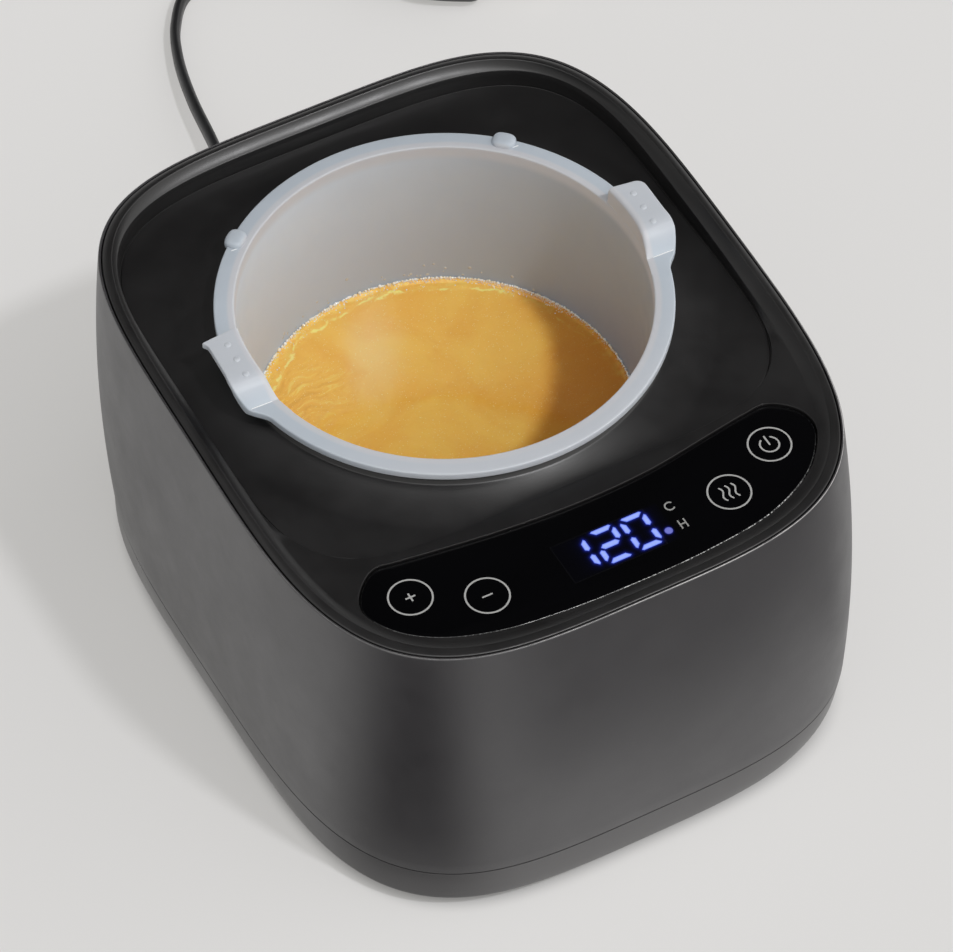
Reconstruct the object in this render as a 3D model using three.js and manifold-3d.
// Table-top wax warmer: a tapered rounded-rectangle body with a lift-out silicone pot.
// Millimetres, +Z up, +X to the user's right, front of the machine towards -Y.
// Origin: centre of the flat underside of the base tray. The rubber feet stand 3 mm below it.
import * as THREE from 'three';
import { mergeVertices } from 'three/addons/utils/BufferGeometryUtils.js';
import Module from 'manifold-3d';

const wasm = await Module();
wasm.setup();
const { lerp, smoothstep, degToRad } = THREE.MathUtils;

// ---------------------------------------------------------------- driving dimensions
// Body outlines. The powers set how square the superellipse is in front and behind.
const SEAM = { z: 12.2, halfWidth: 80, halfLength: 96.5, power: 3.67 };   // wall meets tray
const TOP = {                   // upper edge of the wall
  backZ: 99, frontZ: 93, halfWidth: 78.06, backY: 92.66, frontY: -90.9,
  frontPower: 3.6, backPower: 4.1,
};
const RECESS = { halfWidth: 71.8, backY: 86.4, frontY: -49.5, frontPower: 5.3, backPower: 4.1 };
const RECESS_FLOOR_Z = 92.5;
const LIP_BLEND = 0.51;         // where along the length (-1 to 1) the lip reaches full height
const CREST_IN = 3.1;           // lip crest, in from and above the wall edge
const CREST_UP = 0.7;
const SLOPE_IN = 6.15;          // foot of the sloped band inside the crest
const SLOPE_DOWN = 2.25;
const WALL = 2.4;               // side wall thickness
const FEET_Z = -3;

const POT_Y = 14.8;             // centre of the pot and heating well
const POT_TURN = -1.9;          // the loose pot stands turned this many degrees in its seat
const POT_BOTTOM_Z = 27.8;
const POT_WALL = 1.8;
const POT_TAPER = 0.0575;
const COVER_HOLE_R = 56.7;      // opening in the top cover
const RIM_R = 58.9;
const RIM_INNER_R = 53.6;
const RIM_TOP_Z = 99.8;
const RIM_BOTTOM_Z = RIM_TOP_Z - 2.2;
const HANDLE_Z = 106.3;
const HANDLE_X = 63.5;
const HANDLE_THICK = 2;
const WAX_Z = 52.4;

const GLASS_Z = 92;
const GLASS_THICK = 1.6;
const OUTER_KEY = { x: 51.12, y: -61.7 };
const INNER_KEY = { x: 34.33, y: -70.3 };
const DISPLAY = { left: -13, right: 17, front: -78, rear: -63 };
const CORD_X = 4;
const CORD_Z = 7.4;             // cord height where it passes the rear wall

// stations round each ring
const BODY_STATIONS = 60;
const TRAY_STATIONS = 44;
const POT_STATIONS = 48;
const WELL_STATIONS = 32;

// Places, as [x, y]
const BASE_POSTS = [[-66, -46], [66, -46], [64, 62], [-64, 62]];
const FEET = [[-53, -78], [53, -78], [53, 78], [-53, 78]];
const WELL_BOSSES = [45, 135, 225, 315].map((degrees) => {
  const angle = degToRad(degrees);
  return [66.5 * Math.cos(angle), POT_Y + 66.5 * Math.sin(angle)];
});
const KEYS = [
  [-OUTER_KEY.x, OUTER_KEY.y], [-INNER_KEY.x, INNER_KEY.y],
  [INNER_KEY.x, INNER_KEY.y], [OUTER_KEY.x, OUTER_KEY.y],
];
const BOARD_SCREWS = [[-22, -72], [24, -72]];
const POWER_POSTS = [[-46, -52], [46, -78]];
const CLAMP_POSTS = [[CORD_X - 8.5, 84], [CORD_X + 8.5, 84]];

// Screws: one whose end lies above its head points up, the others point down.
const BASE_SCREW = { headZ: 0.5, headHeight: 2.3, headRadius: 3.5, endZ: 24, shankRadius: 1.5 };
const WELL_SCREW = { headZ: 81.4, headHeight: 2.3, headRadius: 3.2, endZ: 89.6, shankRadius: 1.4 };
const BOARD_SCREW = { headZ: 83.6, headHeight: 1.7, headRadius: 2.4, endZ: 89.2, shankRadius: 1.1 };
const POWER_SCREW = { headZ: 9.7, headHeight: 1.8, headRadius: 2.6, endZ: 4.2, shankRadius: 1.2 };
const CLAMP_SCREW = { headZ: 8.5, headHeight: 1.8, headRadius: 2.6, endZ: 3.8, shankRadius: 1.1 };

// ---------------------------------------------------------------- materials
const material = (color, finish) => new THREE.MeshStandardMaterial({ color, ...finish });
const SATIN = { roughness: 0.5 };
const METAL = { roughness: 0.35, metalness: 0.9 };
const SHELL_GREY = material(0x3f3f40, SATIN);
const COVER_BLACK = material(0x1b1b1c, { roughness: 0.45 });
const TRAY_GREY = material(0x3a3a3b, { roughness: 0.42 });
const GLASS_BLACK = material(0x050506, { roughness: 0.06 });
const SILICONE = material(0xc3c9cf, { roughness: 0.4 });
const WAX = material(0xd89a3c, { roughness: 0.28 });
const RUBBER = material(0x151515, { roughness: 0.8 });
const CORD = material(0x202124, SATIN);
const ALUMINIUM = material(0xb9bcc0, METAL);
const STEEL = material(0x9a9c9f, METAL);
const BRASS = material(0xb9954a, METAL);
const SEAL = material(0x8e3b2b, { roughness: 0.6 });
const HEATER = material(0x9c4a2a, { roughness: 0.6 });
const FELT = material(0xd9d4c6, { roughness: 0.9 });
const BOARD = material(0x14512f, { roughness: 0.45 });
const PART_BLACK = material(0x18191b, { roughness: 0.4 });
const PART_WHITE = material(0xd8d8d4, SATIN);
const PART_BLUE = material(0x2f4f9c, SATIN);
const WIRE_BROWN = material(0x5a3420, SATIN);
const WIRE_BLUE = material(0x2a4b8d, SATIN);
const WIRE_WHITE = material(0xcfcfcb, SATIN);
const PLUG_BLACK = material(0x1d1d1f, SATIN);
const DISPLAY_BLACK = material(0x0c0d12, { roughness: 0.3 });

// ---------------------------------------------------------------- solid helpers
// Welds a geometry into a manifold solid, turning it right side out if needed.
function toSolid(geometry) {
  for (const key of Object.keys(geometry.attributes)) {
    if (key !== 'position') geometry.deleteAttribute(key);
  }
  const welded = mergeVertices(geometry, 1e-4);
  const index = welded.index.array;
  const corner = [0, 1, 2].map(() => new THREE.Vector3());
  const triangles = [];
  let volume = 0;
  for (let i = 0; i < index.length; i += 3) {
    const [a, b, c] = index.slice(i, i + 3);
    if (a === b || b === c || a === c) continue;
    triangles.push([a, b, c]);
    [a, b, c].forEach((v, k) => corner[k].fromBufferAttribute(welded.attributes.position, v));
    volume += corner[0].dot(corner[1].cross(corner[2]));
  }
  if (volume < 0) triangles.forEach((triangle) => triangle.reverse());
  return new wasm.Manifold(new wasm.Mesh({
    numProp: 3,
    vertProperties: new Float32Array(welded.attributes.position.array),
    triVerts: new Uint32Array(triangles.flat()),
  }));
}
function toGeometry(solid) {
  const mesh = solid.getMesh();
  const geometry = new THREE.BufferGeometry();
  const positions = new Float32Array(mesh.vertProperties);
  geometry.setAttribute('position', new THREE.BufferAttribute(positions, 3));
  geometry.setIndex(new THREE.BufferAttribute(new Uint32Array(mesh.triVerts), 1));
  geometry.computeVertexNormals();
  return geometry;
}
const union = (first, ...rest) => rest.reduce((sum, solid) => sum.add(solid), first);
const cut = (solid, ...tools) => tools.reduce((left, tool) => left.subtract(tool), solid);

// upright cylinder between two heights
function cylinder(x, y, bottom, top, radius, sides) {
  const geometry = new THREE.CylinderGeometry(radius, radius, top - bottom, sides);
  return toSolid(geometry.rotateX(Math.PI / 2).translate(x, y, (bottom + top) / 2));
}
// the same cylinder added at, or cut from, several [x, y] places
const cylinders = (places, ...size) => places.map(([x, y]) => cylinder(x, y, ...size));
const addPosts = (solid, places, ...size) => union(solid, ...cylinders(places, ...size));
const drill = (solid, places, ...size) => cut(solid, ...cylinders(places, ...size));

// cylinders lying along X or Y, centred on a point
const rodX = (x, y, z, length, radius, sides) => toSolid(
  new THREE.CylinderGeometry(radius, radius, length, sides).rotateZ(Math.PI / 2).translate(x, y, z));
const rodY = (x, y, z, length, radius, sides, rearRadius = radius) => toSolid(
  new THREE.CylinderGeometry(rearRadius, radius, length, sides).translate(x, y, z));

function box(left, right, front, rear, bottom, top) {
  const geometry = new THREE.BoxGeometry(right - left, rear - front, top - bottom);
  return toSolid(geometry.translate((left + right) / 2, (front + rear) / 2, (bottom + top) / 2));
}
const vectors = (points) => points.map(([x, y]) => new THREE.Vector2(x, y));
const extrude = (outline, options) =>
  new THREE.ExtrudeGeometry(new THREE.Shape(vectors(outline)), { bevelEnabled: false, ...options });
// flat outline in the XY plane raised between two heights
const prism = (outline, bottom, top) =>
  toSolid(extrude(outline, { depth: top - bottom }).translate(0, 0, bottom));
// side outline in the YZ plane carried along X
function prismX(outline, left, right) {
  const sideways = new THREE.Matrix4().set(0, 0, 1, left, 1, 0, 0, 0, 0, 1, 0, 0, 0, 0, 0, 1);
  return toSolid(extrude(outline, { depth: right - left }).applyMatrix4(sideways));
}
// profile [radius, height] turned about the vertical line through (0, y)
function turned(profile, stations, y) {
  const geometry = new THREE.LatheGeometry(vectors(profile), stations);
  return toSolid(geometry.rotateX(Math.PI / 2).translate(0, y, 0));
}
const potTurned = (profile) => turned(profile, POT_STATIONS, 0);
const wellTurned = (profile) => turned(profile, WELL_STATIONS, POT_Y);
const closed = (points) => [...points, points[0]];

// section outline carried along a smooth curve
function sweep(points, outline, steps) {
  const extrudePath = new THREE.CatmullRomCurve3(points.map((p) => new THREE.Vector3(...p)));
  return toSolid(extrude(outline, { steps, extrudePath }));
}
// oval tube; up and across are its half sizes on a run that starts level along Y
function tube(points, { up, across = up, steps, sides }) {
  const oval = Array.from({ length: sides }, (_, i) => {
    const angle = ((i + 0.5) / sides) * 2 * Math.PI;
    return [up * Math.cos(angle), across * Math.sin(angle)];
  });
  return sweep(points, oval, steps);
}
function screw([x, y], { headZ, headHeight, headRadius, endZ, shankRadius }) {
  const headTop = headZ + headHeight;
  const [bottom, top] = endZ > headZ ? [headTop - 0.2, endZ] : [endZ, headZ + 0.2];
  return union(
    cylinder(x, y, headZ, headTop, headRadius, 12),
    cylinder(x, y, bottom, top, shankRadius, 8),
  );
}

// ---------------------------------------------------------------- body outline
// rounded-rectangle plan of the tapered body at height z
function outlineAt(z) {
  const t = (z - SEAM.z) / (TOP.backZ - SEAM.z);
  const tFront = (z - SEAM.z) / (TOP.frontZ - SEAM.z);
  return {
    halfWidth: lerp(SEAM.halfWidth, TOP.halfWidth, t),
    backY: lerp(SEAM.halfLength, TOP.backY, t),
    frontY: lerp(-SEAM.halfLength, TOP.frontY, tFront),
    frontPower: lerp(SEAM.power, TOP.frontPower, t),
    backPower: lerp(SEAM.power, TOP.backPower, t),
  };
}
// distance from (0, fromY) along (cos, sin) to the outline drawn in by inset, by bisection
function reach(outline, inset, cos, sin, fromY) {
  const halfWidth = outline.halfWidth - inset;
  const middleY = (outline.backY + outline.frontY) / 2;
  const halfLength = (outline.backY - outline.frontY) / 2 - inset;
  let low = 0;
  let high = 260;
  for (let i = 0; i < 48; i++) {
    const middle = (low + high) / 2;
    const across = Math.abs(middle * cos) / halfWidth;
    const along = (fromY + middle * sin - middleY) / halfLength;
    const power = along < 0 ? outline.frontPower : outline.backPower;
    if (across ** power + Math.abs(along) ** power > 1) high = middle;
    else low = middle;
  }
  return (low + high) / 2;
}
// height of the wall's upper edge, highest along the back, lowest at the front
function edgeZ(y) {
  const middleY = (TOP.backY + TOP.frontY) / 2;
  const along = (y - middleY) / ((TOP.backY - TOP.frontY) / 2);
  return lerp(TOP.frontZ, TOP.backZ, smoothstep(along, -1, LIP_BLEND));
}
const slopeZ = (y) => Math.max(RECESS_FLOOR_Z + 0.08, edgeZ(y) + CREST_UP - SLOPE_DOWN);
// y of the upper edge in the direction of a ring section centred on the pot
const edgeY = (at, sin) => POT_Y + at(outlineAt(TOP.backZ - 2), 0) * sin;

// A Lathe surface whose stations are moved onto the body outline. section(at, sin) gives the
// [radius, height] list in one direction from (0, centreY); at(outline, inset) is a radius in
// that direction. The list is closed on itself unless it starts and ends on the axis.
function ringLoft(section, stations, centreY, onAxis = false) {
  const rings = Array.from({ length: stations }, (_, i) => {
    const angle = (i / stations) * 2 * Math.PI;
    const cos = Math.cos(angle);
    const sin = Math.sin(angle);
    const at = (outline, inset) => reach(outline, inset, cos, sin, centreY);
    return section(at, sin).map(([r, z]) => [r * cos, centreY + r * sin, z]);
  });
  const rows = rings[0].length + (onAxis ? 0 : 1);
  const blank = Array.from({ length: rows }, (_, j) => new THREE.Vector2(10 + j, j));
  const geometry = new THREE.LatheGeometry(blank, stations);
  for (let i = 0; i <= stations; i++) {
    const ring = rings[i % stations];
    for (let j = 0; j < rows; j++) {
      geometry.attributes.position.setXYZ(i * rows + j, ...ring[j % ring.length]);
    }
  }
  return toSolid(geometry);
}

// ---------------------------------------------------------------- casing
function sideShell() {
  const bottom = SEAM.z + 0.3;
  const foot = outlineAt(bottom);
  return ringLoft((at, sin) => {
    const edge = edgeZ(edgeY(at, sin));
    const rim = outlineAt(edge);
    return [
      [at(foot, 0.5), bottom], [at(outlineAt(bottom + 0.5), 0), bottom + 0.5],
      [at(outlineAt(edge - 0.4), 0), edge - 0.4], [at(rim, 0.25), edge],
      [at(rim, 0.6), edge], [at(rim, 0.6), edge - 1.9],
      [at(rim, WALL), edge - 1.9], [at(foot, WALL), bottom],
    ];
  }, BODY_STATIONS, POT_Y);
}

// touch glass outline, a shallow crescent: [x, y]
const CRESCENT = [
  [-63.5, -60.7], [-61, -54.7], [-55, -50.2], [-50, -50.7], [-40, -52.2], [-20, -54.7],
  [0, -55.9], [20, -55.2], [40, -52.2], [50, -50.7], [57, -50.4], [63, -55.7],
  [64, -61.7], [61, -67.7], [54, -74.7], [40, -81.2], [20, -84], [0, -84.5],
  [-20, -83.7], [-38, -81.2], [-52, -75.7], [-60, -68.7],
];
const CRESCENT_Y = -68;         // scaling centre
// the crescent smoothed, scaled and moved outwards by grow
function crescent({ grow = 0, count = 60, scale = 1 } = {}) {
  const corners = CRESCENT.map(([x, y]) =>
    new THREE.Vector3(x * scale, (y - CRESCENT_Y) * scale + CRESCENT_Y, 0));
  const points = new THREE.CatmullRomCurve3(corners, true).getSpacedPoints(count).slice(0, -1);
  return points.map(({ x, y }, i) => {
    const before = points.at(i - 1);
    const after = points[(i + 1) % points.length];
    const alongX = after.x - before.x;
    const alongY = after.y - before.y;
    const length = Math.hypot(alongX, alongY);
    return [x - (alongY / length) * grow, y + (alongX / length) * grow];
  });
}

// the cover's ring section, from the outer edge over the lip to the pot opening and back below
function coverSection(at, sin) {
  const outerY = edgeY(at, sin);
  const edge = edgeZ(outerY);
  const rim = outlineAt(edge);
  const recess = at(RECESS, 0);
  const crest = at(rim, CREST_IN);
  const crestZ = edge + CREST_UP;
  const footInset = lerp(SLOPE_IN, 5.5, smoothstep(-outerY, 60, 85));
  const foot = Math.max(at(rim, footInset), recess + 0.4);
  const footZ = slopeZ(POT_Y + foot * sin);
  const underside = lerp(90.2, 88, smoothstep(-sin, 0.35, 0.65));   // lower under the touch panel
  return [
    [at(rim, 0.9), edge - 1.55], [at(rim, 0.9), edge - 0.05], [at(rim, 1.7), edge + 0.45],
    [crest, crestZ], [lerp(crest, foot, 0.45), lerp(crestZ, footZ, 0.68)], [foot, footZ],
    [recess + 0.1, slopeZ(POT_Y + recess * sin)], [recess, RECESS_FLOOR_Z],
    [Math.min(67, recess - 0.6), RECESS_FLOOR_Z], [62, 93.3], [59.2, 95.3], [57.6, 96.2],
    [COVER_HOLE_R, 95.8], [COVER_HOLE_R, 90.2], [61, 90.2], [64, underside],
    [at(rim, 4.8), underside], [at(rim, 4.8), 86], [at(rim, 2.8), 86], [at(rim, 2.8), edge - 1.55],
  ];
}
function topCover() {
  const postTop = 91.2;
  const windowGap = 0.6;        // round the display module
  let cover = ringLoft(coverSection, BODY_STATIONS, POT_Y);
  // posts for the long base screws, bosses for the well screws
  cover = addPosts(cover, BASE_POSTS, 14.6, postTop, 4, 12);
  cover = drill(cover, BASE_POSTS, 10, 27, 1.9, 10);
  cover = addPosts(cover, WELL_BOSSES, 85.6, postTop, 3.4, 12);
  cover = drill(cover, WELL_BOSSES, 80, 90.2, 1.8, 10);
  // glass pocket, display window, key holes
  cover = cut(
    cover,
    prism(crescent({ grow: 0.3 }), GLASS_Z - GLASS_THICK - 0.3, 100),
    box(DISPLAY.left - windowGap, DISPLAY.right + windowGap,
      DISPLAY.front - windowGap, DISPLAY.rear + windowGap, 80, 95),
  );
  cover = drill(cover, KEYS, 80, 95, 4.6, 14);
  return drill(cover, BOARD_SCREWS, 80, 89.6, 1.5, 8);
}
function baseTray() {
  const seam = outlineAt(SEAM.z);
  let tray = ringLoft((at) => [
    [0, 0], [at(seam, 4.6), 0], [at(seam, 2.4), 0.5], [at(seam, 1.1), 1.7], [at(seam, 0.5), 3.6],
    [at(seam, 0.3), SEAM.z - 0.3], [at(seam, 0.8), SEAM.z], [at(seam, 3.1), SEAM.z],
    [at(seam, 3.3), SEAM.z + 3], [at(seam, 4.9), SEAM.z + 3], [at(seam, 5.1), 2.6], [0, 2.6],
  ], TRAY_STATIONS, 0, true);
  // posts with head pockets and screw holes
  tray = addPosts(tray, BASE_POSTS, 2, 14.2, 5.2, 14);
  tray = drill(tray, BASE_POSTS, -1, 3.2, 4, 14);
  tray = drill(tray, BASE_POSTS, -1, 20, 2.1, 10);
  tray = drill(tray, FEET, -1, 1.5, 6.4, 20);
  tray = addPosts(tray, POWER_POSTS, 2, 7.6, 3.2, 12);
  tray = drill(tray, POWER_POSTS, 3.4, 9, 1.5, 8);
  tray = addPosts(tray, CLAMP_POSTS, 2, 5, 3, 12);
  tray = drill(tray, CLAMP_POSTS, 3.4, 9, 1.4, 8);
  // cord outlet in the rear wall
  return cut(tray, rodY(CORD_X, 95, CORD_Z, 30, 3.9, 16));
}

// ---------------------------------------------------------------- pot and wax, about the pot axis
const potInner = (z) => RIM_INNER_R - POT_TAPER * (RIM_TOP_Z - z);
const potOuter = (z) => potInner(z) + POT_WALL;

// raised finger handle on the right: a strip that ramps up from the rim, over a short piece
// of raised wall
function potHandle() {
  const clipTop = HANDLE_Z + 0.5;
  const under = HANDLE_Z - HANDLE_THICK;
  // side outlines: [y, z]
  const topLine = [
    [-15, RIM_TOP_Z - 0.02], [-11.6, RIM_TOP_Z - 0.02], [-10.4, 100.5], [-9.3, 102.2],
    [-8.2, 104.4], [-7.2, 105.7], [-5.8, HANDLE_Z - 0.05], [10, HANDLE_Z],
  ];
  const underLine = [
    [10, under], [-5.2, under - 0.1], [-6.2, under - 0.7], [-7, 102.6], [-8.2, 100.4],
    [-9, RIM_BOTTOM_Z + 0.3], [-15, RIM_BOTTOM_Z + 0.3],
  ];
  const strip = prismX([...topLine, ...underLine], 46, 70);
  const block = prismX([...topLine, [10, 98.4], [-15, 98.4]], 46, 70);
  // plan outline: [x, y]
  const plan = prism([
    [50, -14.6], [57.1, -14.3], [59, -13.1], [60.4, -11.4], [61.8, -9.2], [62.9, -7],
    [HANDLE_X, -4.4], [HANDLE_X, 7.6], [62.7, 9.2], [61.2, 9.9], [50, 9.95],
  ], 90, 115);
  const inside = potTurned([
    [0, 96], [RIM_INNER_R, 96], [RIM_INNER_R, RIM_TOP_Z - 0.3],
    [RIM_INNER_R + 1.3, clipTop], [0, clipTop],
  ]);
  const wallRing = potTurned(closed([
    [RIM_INNER_R - 2, 98], [RIM_INNER_R + 2.2, 98],
    [RIM_INNER_R + 3.2, clipTop], [RIM_INNER_R - 2, clipTop],
  ]));
  return cut(union(strip.intersect(plan), block.intersect(plan).intersect(wallRing)), inside);
}
// rounded bump on the rim, cut flat level with the rim's underside
function rimBump(degrees) {
  const angle = degToRad(degrees);
  const geometry = new THREE.SphereGeometry(1, 12, 8).rotateX(Math.PI / 2).scale(2.5, 3.1, 2.6);
  geometry.rotateZ(angle);
  geometry.translate(58.4 * Math.cos(angle), 58.4 * Math.sin(angle), RIM_TOP_Z - 0.1);
  return cut(toSolid(geometry), box(-80, 80, -80, 80, 90, RIM_BOTTOM_Z));
}
function siliconePot() {
  const bowl = potTurned([
    [0, POT_BOTTOM_Z], [45, POT_BOTTOM_Z], [49.4, 29.6], [potOuter(34.5) - 0.3, 34.5],
    [potOuter(RIM_BOTTOM_Z), RIM_BOTTOM_Z], [RIM_R - 0.4, RIM_BOTTOM_Z],
    [RIM_R, RIM_BOTTOM_Z + 0.4], [RIM_R, RIM_TOP_Z - 0.4], [RIM_R - 0.4, RIM_TOP_Z],
    [RIM_INNER_R + 0.3, RIM_TOP_Z], [RIM_INNER_R, RIM_TOP_Z - 0.3],
    [potInner(37), 37], [48, 32], [44, 30], [0, 30],
  ]);
  const handle = potHandle();
  return union(bowl, handle, handle.mirror([1, 0, 0]), rimBump(47.65), rimBump(132.35));
}
const waxFill = () => potTurned([
  [0, 30.3], [43.8, 30.3], [47.7, 32.3], [potInner(37.2) - 0.35, 37.2],
  [potInner(WAX_Z) - 0.3, WAX_Z], [0, WAX_Z],
]);

// ---------------------------------------------------------------- heating parts
const WELL_TOP = 90;
const LUG_Y = POT_Y - 60.4;     // clamp screw axis through the heater band lugs
const LUG_Z = 53;
const FUSE = { x: -20, z: 23 };
const wellInner = (z) => 52.5 + (z - 34) * 0.0625;
const wellOuter = (z) => wellInner(z) + 1.2;

const heatingWell = () => drill(wellTurned([
  [0, 25.8], [45.5, 25.8], [50.4, 27.6], [wellOuter(34), 34], [wellOuter(84), 84], [71, 84],
  [71, 85.2], [wellOuter(85.2), 85.2], [wellOuter(WELL_TOP), WELL_TOP],
  [wellInner(WELL_TOP), WELL_TOP], [wellInner(34), 34], [49.6, 28.8], [45.2, 27.2], [0, 27.2],
]), WELL_BOSSES, 80, 88, 2, 10);
function wellSeal() {
  const inner = wellOuter(88) + 0.5;
  return wellTurned(closed([[inner, 85.5], [60.6, 85.5], [60.6, 89.9], [inner, 89.9]]));
}
// band round the well, split at the front between two lugs
function heaterBand() {
  const ring = wellTurned(closed([
    [wellOuter(36) + 0.3, 36], [wellOuter(36) + 1.6, 36],
    [wellOuter(70) + 1.6, 70], [wellOuter(70) + 0.3, 70],
  ]));
  const split = cut(ring, box(-3, 3, POT_Y - 70, POT_Y - 40, 20, 80));
  const lug = box(3, 4.6, POT_Y - 63.2, POT_Y - 55.85, 44, 62);
  return cut(union(split, lug, lug.mirror([1, 0, 0])), rodX(0, LUG_Y, LUG_Z, 40, 1.9, 10));
}
const clampScrew = () => union(
  rodX(0.5, LUG_Y, LUG_Z, 14, 1.5, 10),
  rodX(6.4, LUG_Y, LUG_Z, 2.2, 2.9, 12),
);
const insulationSleeve = () => cut(
  wellTurned(closed([[58.6, 31], [62.2, 31], [63.4, 82.6], [59.8, 82.6]])),
  box(-9.5, 9.5, POT_Y - 75, POT_Y - 45, 20, 90),
);
const thermalFuse = () => rodY(FUSE.x, POT_Y, FUSE.z, 11, 2, 10);
const fuseClip = () => cut(
  box(FUSE.x - 7, FUSE.x + 7, POT_Y - 3, POT_Y + 3, 19.4, 25.4),
  rodY(FUSE.x, POT_Y, FUSE.z, 30, 2.4, 12),
  box(FUSE.x - 2.2, FUSE.x + 2.2, POT_Y - 9, POT_Y + 9, FUSE.z, 30),
);
const ntcSensor = () => union(
  cylinder(8, POT_Y, 21.2, 25.4, 3.2, 14),
  cylinder(8, POT_Y, 18.6, 21.4, 1.6, 10),
);

// ---------------------------------------------------------------- touch panel parts
const panelGlass = () => prism(crescent(), GLASS_Z - GLASS_THICK, GLASS_Z);
// a smaller crescent with its rear edge cut straight
function controlBoard() {
  const outline = crescent({ count: 36, scale: 0.89 }).map(([x, y]) => [x, Math.min(y, -57.6)]);
  return drill(prism(outline, 85.6, 87.2), BOARD_SCREWS, 80, 90, 1.6, 8);
}
const displayModule = () =>
  box(DISPLAY.left, DISPLAY.right, DISPLAY.front, DISPLAY.rear, 87.3, 90.1);
function touchSpring([x, y]) {
  const turns = 2.5;
  const coilR = 2.9;
  const points = Array.from({ length: 25 }, (_, i) => {
    const angle = (i / 24) * turns * 2 * Math.PI;
    return [x + coilR * Math.cos(angle), y + coilR * Math.sin(angle), 87.75 + (i / 24) * 2];
  });
  return tube(points, { up: 0.32, steps: 20, sides: 4 });
}

// ---------------------------------------------------------------- power board and wiring
const powerBoard = () => drill(box(-50, 50, -84, -46, 7.9, 9.5), POWER_POSTS, 0, 20, 1.6, 8);
// rectangular part standing just above the power board
const boardPart = (left, right, front, rear, height) =>
  box(left, right, front, rear, 9.8, 9.8 + height);
const terminalBlock = () => cut(
  boardPart(30, 46, -64, -52, 10),
  box(32.5, 36.5, -60, -56, 12, 30),
  box(39.5, 43.5, -60, -56, 12, 30),
);

const HEATER_LEAD = { up: 0.8, sides: 6 };
const MAINS_LEAD = { up: 0.75, steps: 24, sides: 5 };
// name, material, section, points along the lead
const LEADS = [
  ['heater_lead_live', WIRE_BROWN, { ...HEATER_LEAD, steps: 16 },
    [[3, -62, 25.4], [6, -57, 33], [8, -50, 40], [6.2, -44, 45.6]]],
  ['heater_lead_neutral', WIRE_BLUE, { ...HEATER_LEAD, steps: 18 },
    [[22, -50, 10.4], [14, -50, 18], [-2, -51, 30], [-8, -50, 39], [-6.2, -44, 45.6]]],
  ['mains_lead_live', WIRE_BROWN, MAINS_LEAD,
    [[CORD_X - 0.95, 78.2, CORD_Z], [1, 60, 8], [24, 10, 9], [40, -28, 13], [40, -44, 23],
      [35.5, -54, 25], [34.5, -58, 18]]],
  ['mains_lead_neutral', WIRE_BLUE, MAINS_LEAD,
    [[CORD_X + 0.95, 78.2, CORD_Z], [9, 60, 8], [34, 10, 9], [52, -26, 13], [52, -44, 23],
      [44, -56, 25], [41.5, -58, 18]]],
  ['sensor_lead', WIRE_WHITE, { up: 0.7, steps: 24, sides: 5 },
    [[8, POT_Y, 18], [8, 4, 15], [-10, -24, 13], [-40, -42, 14], [-53, -58, 22],
      [-50, -70, 50], [-40, -72, 76], [-36, -70, 84.8]]],
];
const ribbonCable = () => sweep([
  [-6, -81.4, 10.4], [-6, -83.4, 20], [-6, -83.6, 50], [-6, -82.2, 70],
  [-6, -79.2, 80], [-6, -79, 82.5], [-6, -79, 84.9],
], [[-6, -0.45], [6, -0.45], [6, 0.45], [-6, 0.45]], 16);

// ---------------------------------------------------------------- cord and plug
const CORD_PATH = [
  [CORD_X, 79, CORD_Z], [CORD_X, 95, CORD_Z], [CORD_X, 113, CORD_Z], [4.8, 130, 5.2],
  [7.6, 150, 1.2], [11.2, 168, -0.2], [13.6, 180, -0.3], [15.2, 200, -0.3], [18.5, 217, -0.3],
  [24.6, 229, -0.3], [35, 238.6, -0.3], [50, 242, -0.3], [66, 238, -0.3], [80, 230, -0.3],
];
const powerCord = () => tube(CORD_PATH, { up: 2.6, across: 1.65, steps: 46, sides: 8 });
function cordGrommet() {
  const bore = [70, 95, 125].map((y) => [CORD_X, y, CORD_Z]);
  return cut(
    union(
      rodY(CORD_X, 93.7, CORD_Z, 9, 3.5, 16),
      rodY(CORD_X, 104.6, CORD_Z, 15, 4.6, 16, 3.2),
      rodY(CORD_X, 89.3, CORD_Z, 1.8, 4.6, 16),
    ),
    tube(bore, { up: 2.9, across: 1.95, steps: 4, sides: 12 }),
  );
}
// bridge over the cord with a lower ear on each side
function cordClamp() {
  const clamp = cut(
    box(CORD_X - 11.5, CORD_X + 11.5, 81, 87, 5.3, 11.8),
    box(CORD_X - 2, CORD_X + 2, 70, 95, 3, 10.3),
    box(CORD_X - 13, CORD_X - 5.5, 78, 90, 8.3, 13),
    box(CORD_X + 5.5, CORD_X + 13, 78, 90, 8.3, 13),
  );
  return drill(clamp, CLAMP_POSTS, 0, 20, 1.7, 8);
}

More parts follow.
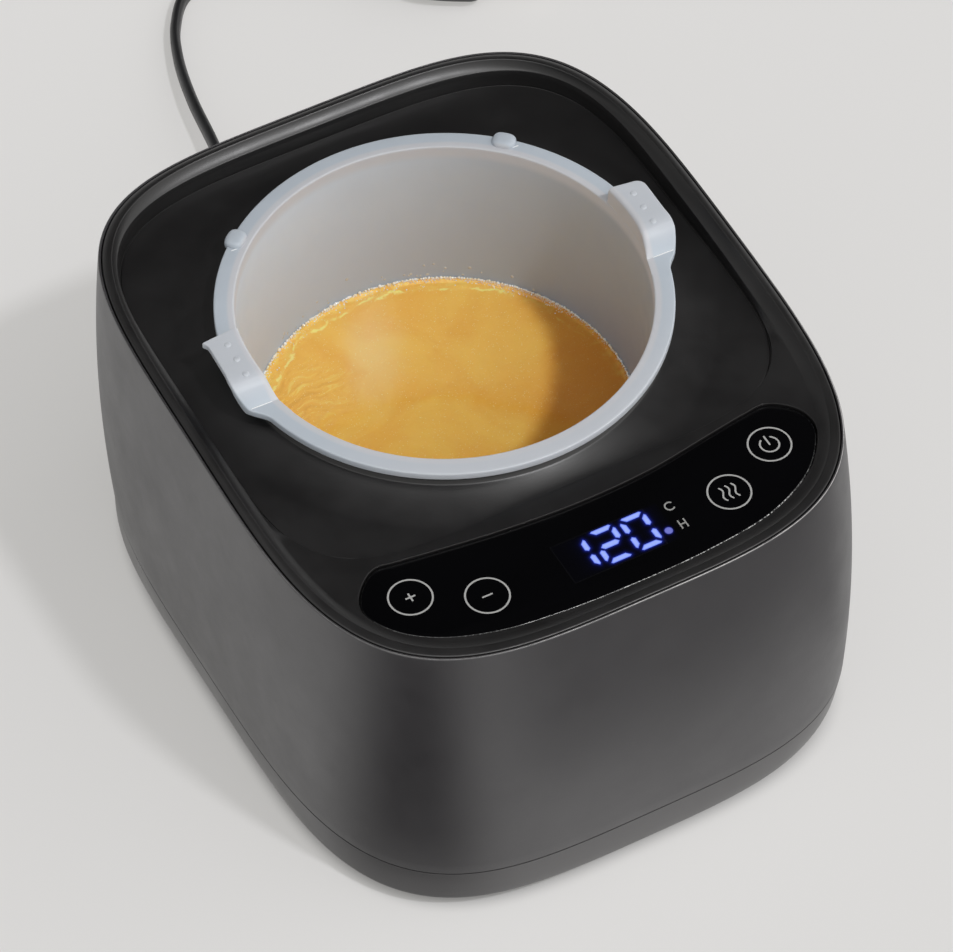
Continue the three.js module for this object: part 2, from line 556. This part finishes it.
// the plug is drawn along +X from the cord's end, then turned into place
const [PLUG_X, PLUG_Y] = CORD_PATH.at(-1);
const PLUG_AT = new THREE.Matrix4().makeRotationZ(-0.55).setPosition(PLUG_X, PLUG_Y, 0);
const plugSolid = (geometry) => toSolid(geometry.applyMatrix4(PLUG_AT));
function plugBody() {
  const bevelThickness = 1.5;
  const outline = [
    [1.5, -2.6], [6, -3], [14, -8], [20, -13], [40, -15.4], [43, -13.6],
    [43, 13.6], [40, 15.4], [20, 13], [14, 8], [6, 3], [1.5, 2.6],
  ];
  const bevel = { bevelEnabled: true, bevelThickness, bevelSize: 1.2, bevelSegments: 2 };
  const geometry = extrude(outline, { depth: 11, ...bevel });
  return plugSolid(geometry.translate(0, 0, FEET_Z + bevelThickness));
}
function plugPin(side) {
  const y = side * 9.3;
  const pin = new THREE.CylinderGeometry(2, 2, 19, 12).rotateZ(Math.PI / 2);
  const tip = new THREE.SphereGeometry(2, 12, 4);
  return union(plugSolid(pin.translate(54.2, y, 4)), plugSolid(tip.translate(63.4, y, 4)));
}

// ---------------------------------------------------------------- assembly
const warmer = new THREE.Group();
warmer.name = 'wax_warmer';
function put(name, solid, surface, parent = warmer) {
  const mesh = new THREE.Mesh(toGeometry(solid), surface);
  mesh.name = name;
  parent.add(mesh);
}
const putScrews = (prefix, names, places, size) =>
  names.forEach((name, i) => put(prefix + name, screw(places[i], size), STEEL));
const SIDES = ['left', 'right'];

put('side_shell', sideShell(), SHELL_GREY);
put('top_cover', topCover(), COVER_BLACK);
put('base_tray', baseTray(), TRAY_GREY);
['front_left', 'front_right', 'rear_right', 'rear_left'].forEach((name, i) => {
  put('foot_' + name, cylinder(...FEET[i], FEET_Z, 1.2, 6, 20), RUBBER);
  put('base_screw_' + name, screw(BASE_POSTS[i], BASE_SCREW), STEEL);
});
put('panel_glass', panelGlass(), GLASS_BLACK);

// the pot group stands on the well's axis and can be lifted out
const pot = new THREE.Group();
pot.position.set(0, POT_Y, 0);
pot.rotation.z = degToRad(POT_TURN);
warmer.add(pot);
put('silicone_pot', siliconePot(), SILICONE, pot);
put('wax_fill', waxFill(), WAX, pot);

put('heating_well', heatingWell(), ALUMINIUM);
put('well_seal', wellSeal(), SEAL);
putScrews('well_screw_', ['rear_right', 'rear_left', 'front_left', 'front_right'],
  WELL_BOSSES, WELL_SCREW);
put('heater_band', heaterBand(), HEATER);
put('heater_clamp_screw', clampScrew(), STEEL);
put('insulation_sleeve', insulationSleeve(), FELT);
put('thermal_fuse', thermalFuse(), PART_WHITE);
put('thermal_fuse_clip', fuseClip(), STEEL);
put('ntc_sensor', ntcSensor(), BRASS);

put('control_board', controlBoard(), BOARD);
put('display_module', displayModule(), DISPLAY_BLACK);
['plus', 'minus', 'heat', 'power'].forEach((name, i) =>
  put('touch_spring_' + name, touchSpring(KEYS[i]), STEEL));
putScrews('board_screw_', SIDES, BOARD_SCREWS, BOARD_SCREW);

put('power_board', powerBoard(), BOARD);
put('transformer', boardPart(-44, -16, -80, -58, 20), PART_BLACK);
put('relay', boardPart(-12, 7, -68, -60, 15), PART_BLUE);
put('filter_capacitor', boardPart(-2, 16, -79, -71, 14), PART_WHITE);
put('board_fuse', rodX(8, -56, 13.2, 20, 2.6, 12), PART_WHITE);
put('terminal_block', terminalBlock(), PART_BLACK);
putScrews('power_board_screw_', SIDES, POWER_POSTS, POWER_SCREW);
for (const [name, surface, section, points] of LEADS) put(name, tube(points, section), surface);
put('ribbon_cable', ribbonCable(), WIRE_WHITE);

put('power_cord', powerCord(), CORD);
put('cord_grommet', cordGrommet(), RUBBER);
put('cord_clamp', cordClamp(), PART_BLACK);
putScrews('cord_clamp_screw_', SIDES, CLAMP_POSTS, CLAMP_SCREW);
put('plug_body', plugBody(), PLUG_BLACK);
put('plug_pin_left', plugPin(1), BRASS);
put('plug_pin_right', plugPin(-1), BRASS);

export default warmer;
